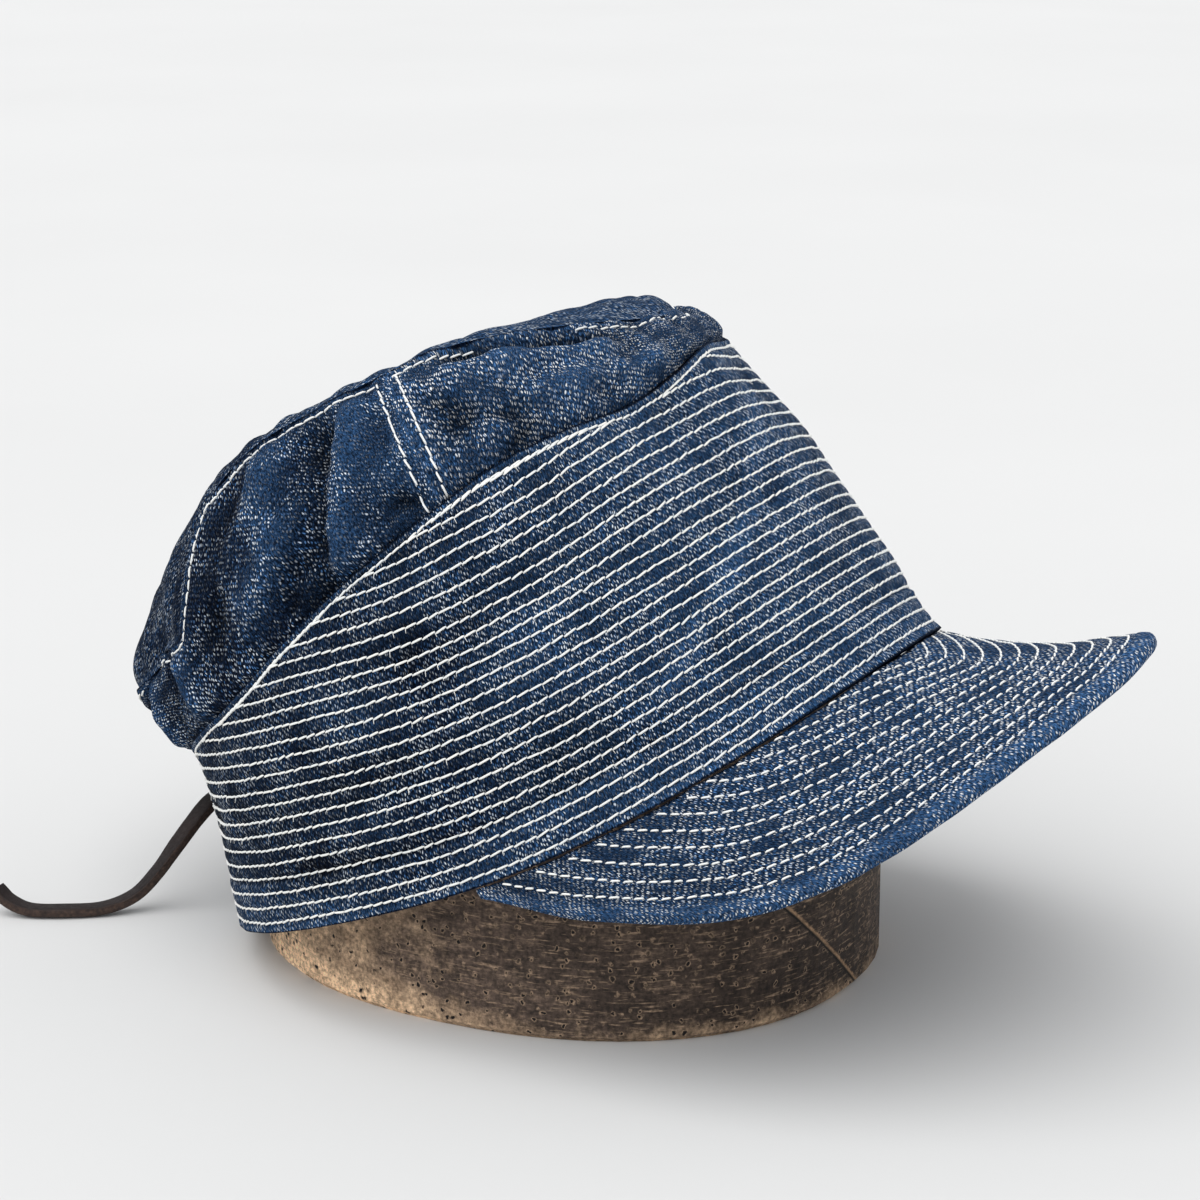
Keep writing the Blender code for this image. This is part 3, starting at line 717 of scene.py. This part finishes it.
def makeTip():
    turn = np.linspace(tip["nearEnd"], math.pi - tip["nearEnd"], tip["along"] + 1)
    hang = np.linspace(0, 1, tip["hang"] + 1)[1:]
    ways = np.concatenate([-1 - hang[::-1], np.linspace(-1, 1, tip["across"] + 1), 1 + hang])
    angle, t = np.meshgrid(turn, ways, indexing="ij")
    side = np.where(t >= 0, angle, -angle)
    over = np.clip(np.abs(t) - 1, 0, 1)
    v = 1 - over * (1 - seamWay(side))
    top = tipPoint(angle, np.clip(t, -1, 1))
    points = np.where((over > 0)[..., None], wallPoint(side, v), top)
    # where the tip does not hang over the side, its last rows are drawn out of its own edge
    room = step(1 - seamWay(side), 0.0, 0.03)[..., None]
    short = tipPoint(angle, np.sign(t) * np.minimum(np.abs(t), 1) * (1 - 0.03 * (1 - over)))
    points = room * points + (1 - room) * short
    toSeam = edgeDistance(points, seamLine[::2])
    across, along = points[..., 0] * 1000, points[..., 1] * 1000 - points[..., 2] * 500
    height = 0.9 * softNoise(21, across, along, 34.0) * step(toSeam, 2, 16)
    height += 0.45 * softNoise(22, across, along, 13.0) * step(toSeam, 1, 8)
    plain = 1 - 0.9 * step(angle, deg(140), deg(158))
    height += plain * (tip["bulge"] * bell(toSeam - 8, 5.0) + 0.35 * bell(toSeam - 0.8, 0.9)
                       - 0.3 * bell(toSeam - 2.6, 0.8))
    points = points + upNormals(points) * (height * mm)[..., None]
    spine = len(ways) // 2
    drawn = runLength(points, 1)
    run = np.broadcast_to(runLength(points[:, spine])[:, None], t.shape)
    flat = np.stack([drawn - drawn[:, [spine]], run], -1)
    worn = 0.4 * bell(toSeam - 0.8, 1.0) + 0.50 * (1 - step(angle, deg(60), deg(130)))
    # the last value gives painted shade: the colour grows darker in the tip's hollows
    obj = clothPiece(("crown_tip_cloth", "tip denim", "tip_denim", "crown_tip"),
                     (points, flat, worn, -height / 1.5),
                     dict(indigoLook, bare=0.37, fleckShare=0.95), tip["wall"])
    print("tip", len(obj.data.polygons))


makeTip()

# visor: padded, with concentric rows and a rolled edge
visor = dict(depth=0.06, thick=4.2, drop=0.5, dip=3.0, skew=0.12, around=300, rows=84, firstRow=4.3, rowGap=4.35,
             count=14, grooveDeep=0.30, flatHalf=150.0)
# hem angle in degrees, then way out, forward and up as shares of the depth
visorEdge = [(0, 0, .950, .143), (12, .053, .921, .109), (22, .092, .856, .058), (32, .094, .797, .003),
             (42, .080, .775, -.030), (52, .064, .779, -.047), (60, .078, .744, -.066), (67, .099, .652, -.080),
             (73, .097, .481, -.068), (78, .065, .273, -.054), (82, .016, .027, -.022)]


def visorPoint(place, v):
    # upper face: place runs from -1 to 1 between the corners, v is 0 on the hem and 1 on the edge
    row = np.abs(place) * (len(visorEdge) - 1)
    side = np.where(place < 0, -1.0, 1.0)
    angle, out, forward, rise = (
        splineRow([r[k] for r in visorEdge], row, -1 if k < 2 else 1, 0) for k in range(4))
    start = bandPoint(np.radians(angle) * side, 0 * v)
    reach = np.stack([out * side, -forward, rise], -1) * visor["depth"]
    reach[..., 1] += visor["skew"] * (start[..., 0] + reach[..., 0]) * np.cos(place * np.pi / 2)
    dip = visor["dip"] * mm * (1 - np.abs(place)) * np.sin(np.pi * v)
    spot = start + reach * v[..., None]
    spot[..., 2] -= dip + visor["drop"] * mm
    return spot


def makeVisor():
    places = np.linspace(-1, 1, visor["around"] + 1)
    ways = np.linspace(0, 1, visor["rows"] + 1)
    place, v = np.meshgrid(places, ways, indexing="ij")
    top = visorPoint(place, v)
    distance = edgeDistance(top, top[::4, -1])
    normal = upNormals(top)
    groove = -visor["grooveDeep"] * bell(fromRow(distance, visor), 0.8) * step(distance, 2.0, 3.0)
    groove += 0.30 * bell(distance - 1.4, 1.3) - 0.30 * bell(distance - 3.1, 0.6)
    groove += 0.18 * softNoise(31, place * visor["flatHalf"], v * 60, 18.0)
    # the visor thins out into its corners
    thick = (visor["thick"] * (0.15 + 0.85 * step(1 - np.abs(place), 0.0, 0.12)))[..., None] * mm
    half = thick[:, -1] / 2
    upper = top + normal * (groove * mm)[..., None]
    lower = top - normal * (thick + groove[..., None] * mm * 0.8)
    reach = unit(top[:, -1] - top[:, -3])
    nose = []
    turns = np.linspace(0, np.pi, 9)[1:-1]
    for turn in turns:
        nose.append(top[:, -1] - normal[:, -1] * half * (1 - math.cos(turn)) + reach * half * math.sin(turn)
                    + (upper[:, -1] - top[:, -1]) * abs(math.cos(turn)))
    loop = np.concatenate([upper, np.stack(nose, 1), lower[:, ::-1]], 1)
    run = runLength(loop, 1)
    flat = np.stack([np.broadcast_to(places[:, None] * visor["flatHalf"] * mm, run.shape), run], -1)
    roll = np.concatenate([distance, np.zeros((len(places), len(turns))), distance[:, ::-1]], 1)
    worn = 0.7 * bell(roll, 2.4) + 0.12 + 0.46 * (1 - np.abs(places[:, None]))
    obj = clothGrid(loop, flat, worn, 0 * roll)
    # close the strip along the hem and the two corners
    pickOnly(obj)
    bpy.ops.object.mode_set(mode="EDIT")
    bpy.ops.mesh.select_all(action="DESELECT")
    bpy.ops.mesh.select_mode(type="EDGE")
    bpy.ops.mesh.select_non_manifold()
    bpy.ops.mesh.fill()
    bpy.ops.mesh.select_all(action="SELECT")
    bpy.ops.mesh.normals_make_consistent(inside=False)
    bpy.ops.object.mode_set(mode="OBJECT")
    bpy.ops.object.shade_smooth_by_angle(angle=deg(45))
    look = dict(indigoLook, middle=(0.005, 0.0135, 0.035), light=(0.022, 0.060, 0.140), fleckScale=1.05,
                weft=(0.95, 0.98, 1.0))
    finishPiece(obj, "visor_cloth", denimMaterial("visor denim", look), "visor_denim", "visor")
    print("visor", len(obj.data.polygons))
    return obj, upper, lower, distance


visorObj, visorUpper, visorLower, visorDistance = makeVisor()

# stitches: one thread is shaped, then laid along every row
thread = dict(pitch=3.2, share=0.99, radius=0.29, lift=0.19, sink=0.22, lean=0.11, prickRadius=0.13,
              shade=(0.84, 0.83, 0.79), light=(0.97, 0.96, 0.92))


def threadShape(sides, cuts):
    # a short rod along X, from -0.5 to 0.5, with tucked ends
    deselectAll()
    bpy.ops.mesh.primitive_cylinder_add(vertices=sides, radius=1, depth=1, rotation=(0, math.pi / 2, 0),
                                        end_fill_type="NGON")
    obj = bpy.context.object
    bpy.ops.object.transform_apply(location=False, rotation=True, scale=True)
    bpy.ops.object.mode_set(mode="EDIT")
    for cut in cuts:
        bpy.ops.mesh.select_all(action="SELECT")
        bpy.ops.mesh.bisect(plane_co=(cut, 0, 0), plane_no=(1, 0, 0))
    bpy.ops.object.mode_set(mode="OBJECT")
    points = np.array([v.co[:] for v in obj.data.vertices])
    faces = [list(p.vertices) for p in obj.data.polygons]
    bpy.data.objects.remove(obj, do_unlink=True)
    return points, faces


stitchRod = threadShape(5, (-0.3, 0.3))
prickRod = threadShape(3, ())
capHeart = (0, 0.012, 0.03)


def surfaceOf(obj):
    mesh = obj.data
    return BVHTree.FromPolygons([v.co for v in mesh.vertices], [p.vertices for p in mesh.polygons])


def onSurface(tree, place, fromOutside):
    # the cloth's outer face at a place that runs close to it
    if fromOutside:
        away = Vector(place) - Vector(capHeart)
        away.normalize()
        hit = tree.ray_cast(Vector(place) + away * 0.008, -away, 0.014)
        if hit[0] is not None:
            return hit
    return tree.find_nearest(Vector(place))


def layRow(found, tree, path, pitch=None, share=None, pricks=None, fromOutside=True):
    # lays threads along a path, and now and then the short end that shows at a needle hole
    pitch, share = pitch or thread["pitch"], share or thread["share"]
    path = np.asarray(path)
    walked = runLength(path)
    count = int(round(walked[-1] / (pitch * mm)))
    if count < 1:
        return
    ends = np.linspace(0, walked[-1], count + 1)
    ends[1:-1] += chance.uniform(-0.10, 0.10, count - 1) * pitch * mm
    for k in range(count):
        long = (ends[k + 1] - ends[k]) * share
        middleMark = (ends[k] + ends[k + 1]) / 2
        a, b, c = (np.array([np.interp(middleMark + m * long, walked, path[:, i]) for i in range(3)])
                   for m in (-0.5, 0.0, 0.5))
        hit = onSurface(tree, b, fromOutside)
        if hit[0] is None:
            continue
        normal, spot = np.array(hit[1]), np.array(hit[0])
        along = unit(c - a)
        side = unit(np.cross(normal, along))
        along = unit(np.cross(side, normal))
        along = unit(along + side * chance.normal(thread["lean"], 0.04))
        found.append((spot, along, side, normal, b - (a + c) / 2, long, thread["radius"] * mm,
                      thread["lift"] * mm * chance.uniform(0.8, 1.2)))
        if pricks is not None and chance.random() < 0.5:
            size = chance.uniform(0.5, 1.9) * mm
            spot = spot + along * long * 0.5 - side * size * 0.45 * np.sign(side[2] + 1e-9)
            turned = unit(side + along * chance.normal(0, 0.12))
            pricks.append((spot, turned, along, normal, 0 * b, size, thread["prickRadius"] * mm, 0.0))


def threadObject(name, found, material, slotName, shape):
    rodPoints, rodFaces = shape
    spots = [np.array([f[i] for f in found]) for i in range(8)]
    spot, along, side, normal, bend, length, radius, tall = spots
    x, y, z = rodPoints.T
    atEnd = np.abs(x) > 0.4
    # ends grow thin, and those of the stitches sink into the cloth
    tuck = 1 - 0.25 * atEnd
    sink = np.where(atEnd, -thread["sink"] * mm, 0.0) * (len(rodPoints) > 6)
    points = (spot[:, None] + along[:, None] * (length[:, None] * x)[..., None]
              + side[:, None] * (radius[:, None] * y * tuck)[..., None]
              + normal[:, None] * (radius[:, None] * z * tuck + tall[:, None] + sink)[..., None]
              - bend[:, None] * (4 * x * x)[None, :, None])
    size = len(rodPoints)
    mesh = bpy.data.meshes.new(name)
    faces = [[i + k * size for i in face] for k in range(len(found)) for face in rodFaces]
    mesh.from_pydata(points.reshape(-1, 3).tolist(), [], faces)
    mesh.shade_smooth()
    obj = bpy.data.objects.new(name, mesh)
    bpy.context.scene.collection.objects.link(obj)
    finishPiece(obj, name, material, slotName)
    print(name, len(found), "threads", sum(len(f) - 2 for f in rodFaces) * len(found), "triangles")


def creamThread():
    material, add, shader = newMaterial("cream cotton thread", roughness=0.8)
    place = objectPlace(add)
    ply = noise(add, place, 2600.0)
    base = ramp(add, ply, (0.3, thread["shade"]), (0.6, thread["light"]))
    tint = ramp(add, noise(add, place, 160.0), (0.35, (0.90, 0.93, 0.96)), (0.65, (1.0, 1.0, 1.0)))
    wire(material, mixColour(add, 1.0, base, tint, "MULTIPLY"), shader, "Base Color")
    addBumps(material, add, shader, (0.4, 0.1 * mm, ply))
    return material


cotton = creamThread()


def bandStitches():
    tree = surfaceOf(bandObj)
    found, pricks = [], []
    fine = np.linspace(-np.pi, np.pi, 1441)
    around, tall = fine * hemRadius, bandHeight(fine)
    for k in range(band["rows"]):
        d = band["firstRow"] + k * band["rowGap"]
        shown = tall - d > band["topEdge"] + 0.1
        wave = d + 0.12 * softNoise(50 + k, around, 0 * fine, 60.0)
        wave += 0.09 * softNoise(90 + k, around, 0 * fine, 12.0)
        line = bandPoint(fine, wave / tall)
        runs = np.split(np.arange(len(fine)), np.where(np.diff(shown.astype(int)) != 0)[0] + 1)
        for run in runs:
            if shown[run[0]] and len(run) > 8:
                layRow(found, tree, line[run], pricks=pricks)
    # edge stitching along the top, doubled in places
    layRow(found, tree, bandPoint(fine, 1 - band["topEdge"] / tall), 2.7)
    for first, last in ((-74, -40), (-124, -96), (20, 60)):
        part = np.radians(np.linspace(first, last, 200))
        layRow(found, tree, bandPoint(part, 1 - (band["topEdge"] + 0.4) / bandHeight(part)), 2.9)
    threadObject("band_stitches", found, cotton, "row_stitched_denim", stitchRod)
    threadObject("band_stitch_pricks", pricks, cotton, "row_stitched_denim", prickRod)


def crownStitches():
    found = []
    fine = np.linspace(0.02, 0.97, 120)
    for side in (-1, 1):
        for obj, offset in ((frontObj, -2.7), (backObj, 2.7)):
            at = side * (cap["sideSeam"] + offset / crownRadius) + 0 * fine
            layRow(found, surfaceOf(obj), wallPoint(at, fine), 3.4, 0.97)
    # stitches beside the tip seam
    for obj, first, last in ((frontObj, -70.5, -53), (frontObj, -31, 70.5), (backObj, 73.5, 286.5)):
        part = np.radians(np.linspace(first, last, 900))
        seam = wallPoint(part, seamWay(part))
        along = unit(np.gradient(seam, axis=0))
        downward = unit(np.cross(along, seam - np.array(capHeart)))
        below = wallPoint(part, seamWay(part) - 0.05) - seam
        downward *= np.sign((downward * below).sum(-1, keepdims=True))
        layRow(found, surfaceOf(obj), seam + downward * 1.9 * mm, 3.3, 0.9)
    threadObject("crown_stitches", found, cotton, "back_denim", stitchRod)


def visorStitches():
    tree = surfaceOf(visorObj)
    found = []
    for sheet in (visorUpper, visorLower):
        for k in range(visor["count"]):
            want = visor["firstRow"] + k * visor["rowGap"]
            line = []
            for i in range(visorDistance.shape[0]):
                away = visorDistance[i]
                inside = np.where(away >= want)[0]
                if len(inside) == 0 or inside[-1] + 1 >= len(away):
                    continue
                j = inside[-1]
                t = (away[j] - want) / max(away[j] - away[j + 1], 1e-9)
                line.append(sheet[i, j] + (sheet[i, j + 1] - sheet[i, j]) * t)
            if len(line) > 6:
                layRow(found, tree, line, 3.2, 0.72, fromOutside=False)
    threadObject("visor_stitches", found, cotton, "visor_denim", stitchRod)


bandStitches()
crownStitches()
visorStitches()


# hat block: dark worn wood, tan where the foot and the back are rubbed
wood = dict(dark=(0.014, 0.009, 0.007), middle=(0.066, 0.045, 0.034), light=(0.17, 0.118, 0.084),
            rubbedLow=(0.38, 0.245, 0.150), rubbedHigh=(1.0, 0.70, 0.44), scratch=(0.36, 0.25, 0.165),
            poreScale=430.0, crackWidth=0.45,
            pit=(0.006, 0.004, 0.004, 1), crack=(0.005, 0.004, 0.003, 1), crackEdge=(0.30, 0.19, 0.11, 1))


def woodMaterial():
    material, add, shader = newMaterial("worn block wood", roughness=0.7, specular=0.3)
    place = objectPlace(add)
    grain = noise(add, mapped(add, place, (1.0, 1.0, 2.6), (deg(28), deg(8), 0)), 130.0, 9.0, 0.78)
    speck = noise(add, place, 900.0, 3.0, 0.6)
    base = ramp(add, grain, (0.30, wood["dark"]), (0.52, wood["middle"]), (0.74, wood["light"]))
    tone = ramp(add, noise(add, place, 34.0, 5.0, 0.6), (0.35, 0.65), (0.68, 1.40))
    colour = mixColour(add, 1.0, base, tone, "MULTIPLY")
    # painted shade: the block is darker towards the front, under the visor
    backward = facing(add, place, (-0.4694, 0.883, 0.0))
    paintedFrontShade = ramp(add, sums(add, "MULTIPLY_ADD", backward, 8.0, 0.7), (0.0, 0.5), (1.0, 1.25))
    colour = mixColour(add, 1.0, colour, paintedFrontShade, "MULTIPLY")
    # rubbed places: the back of the foot and a thin line along its edge
    apart = add("ShaderNodeSeparateXYZ", None, Vector=place)
    reach = sums(add, "MAXIMUM", sums(add, "MULTIPLY_ADD", backward, 22.0, -0.80), -0.35)
    low = sums(add, "MAXIMUM", sums(add, "MULTIPLY_ADD", (apart, "Z"), -70.0, 0.72), 0.0)
    ragged = sums(add, "MULTIPLY_ADD", noise(add, place, 75.0, 7.0, 0.7), 1.6, -0.8)
    amount = sums(add, "ADD", sums(add, "ADD", reach, low), ragged)
    tan = ramp(add, grain, (0.30, wood["rubbedLow"]), (0.58, wood["rubbedHigh"]))
    colour = mixColour(add, ramp(add, amount, (0.0, 0.0), (0.9, 1.0)), colour, tan)
    # fine scratches in two directions
    scratch, marks = (*wood["scratch"], 1), 0.0
    for turn, stretch in (((deg(38), deg(14), 0), 11.0), ((deg(-55), 0, 0), 9.0)):
        line = noise(add, mapped(add, place, (1.0, 1.0, stretch), turn), 150.0, 3.0, 0.55)
        marks = sums(add, "MAXIMUM", marks, ramp(add, line, (0.60, 0.0), (0.70, 0.7)))
    colour = mixColour(add, marks, colour, scratch)
    # worm holes and pores with pale rims
    bend = (noise(add, place, 500.0, 3.0, 0.6)[0], "Color")
    bent = add("ShaderNodeMix", {"data_type": "VECTOR", "blend_type": "MIX"}, i0=0.0022, i4=place, i5=bend)
    holes = add("ShaderNodeTexVoronoi", None, Vector=(bent, "Result"), Scale=wood["poreScale"])
    some = add("ShaderNodeSeparateColor", None, Color=(holes, "Color"))
    some = ramp(add, (some, "Red"), (0.15, 0.0), (0.5, 1.0))
    rim, pit = (sums(add, "MULTIPLY", ramp(add, (holes, "Distance"), (inner, 1.0), (outer, 0.0)), some)
                for inner, outer in ((0.24, 0.36), (0.17, 0.23)))
    colour = mixColour(add, sums(add, "MULTIPLY", rim, 0.75), colour, scratch)
    colour = mixColour(add, pit, colour, wood["pit"])
    # slanting crack near the front, dark with a pale edge
    away = sums(add, "ADD", facing(add, place, (-0.667, 0.136, -0.733)), 0.0122)
    away = sums(add, "MULTIPLY_ADD", speck, 0.0004, away)
    within = sums(add, "MULTIPLY", *(
        ramp(add, sums(add, "MULTIPLY_ADD", (apart, axis), -60.0, shift), (0.0, 0.0), (0.5, 1.0))
        for axis, shift in (("Y", -4.0), ("X", 0.5))))
    for shift, tint in ((0.0, wood["crack"]), (1.7, wood["crackEdge"])):
        gap = sums(add, "ABSOLUTE", sums(add, "ADD", away, shift * wood["crackWidth"] * mm))
        line = sums(add, "MULTIPLY_ADD", gap, -1000.0 / wood["crackWidth"], 1.3)
        colour = mixColour(add, sums(add, "MULTIPLY", line, within, clamp=True), colour, tint)
    grit = ramp(add, speck, (0.35, 0.55), (0.65, 1.50))
    wire(material, mixColour(add, 1.0, colour, grit, "MULTIPLY"), shader, "Base Color")
    addBumps(material, add, shader, (0.8, 0.6 * mm, sums(add, "MULTIPLY_ADD", pit, -1.0, grain)))
    return material


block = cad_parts["hat_block"]
block.data.materials.clear()
block.data.materials.append(woodMaterial())
print("block finished")


# floor, light and air
studio = dict(floorShade=(0.68, 0.68, 0.673), floorColour=(0.70, 0.70, 0.693), air=(0.97, 0.98, 1.0),
              airStrength=0.735, lightPlace=(-0.46, 0.10, 0.88), lightPower=2.0, lightSpread=75)


def addLight(name, place, power, spread):
    data = bpy.data.lights.new(name, "SUN")
    data.energy = power
    data.angle = deg(spread)
    light = bpy.data.objects.new(name, data)
    light.location = place
    light.rotation_euler = (-Vector(place)).to_track_quat("-Z", "Y").to_euler()
    bpy.context.scene.collection.objects.link(light)


def addStudio():
    deselectAll()
    bpy.ops.mesh.primitive_plane_add(size=12)
    floor = bpy.context.object
    floor.name = "floor"
    material, add, shader = newMaterial("pale floor", roughness=0.9)
    cloud = noise(add, objectPlace(add), 3.0, 4.0)
    tone = ramp(add, cloud, (0.3, studio["floorShade"]), (0.7, studio["floorColour"]))
    wire(material, tone, shader, "Base Color")
    floor.data.materials.append(material)
    world = bpy.data.worlds.new("studio air")
    world.use_nodes = True
    air = world.node_tree.nodes["Background"]
    air.inputs["Color"].default_value = (*studio["air"], 1)
    air.inputs["Strength"].default_value = studio["airStrength"]
    bpy.context.scene.world = world
    addLight("window", studio["lightPlace"], studio["lightPower"], studio["lightSpread"])
    bpy.context.scene.view_settings.view_transform = "Standard"


addStudio()
print("studio lit")
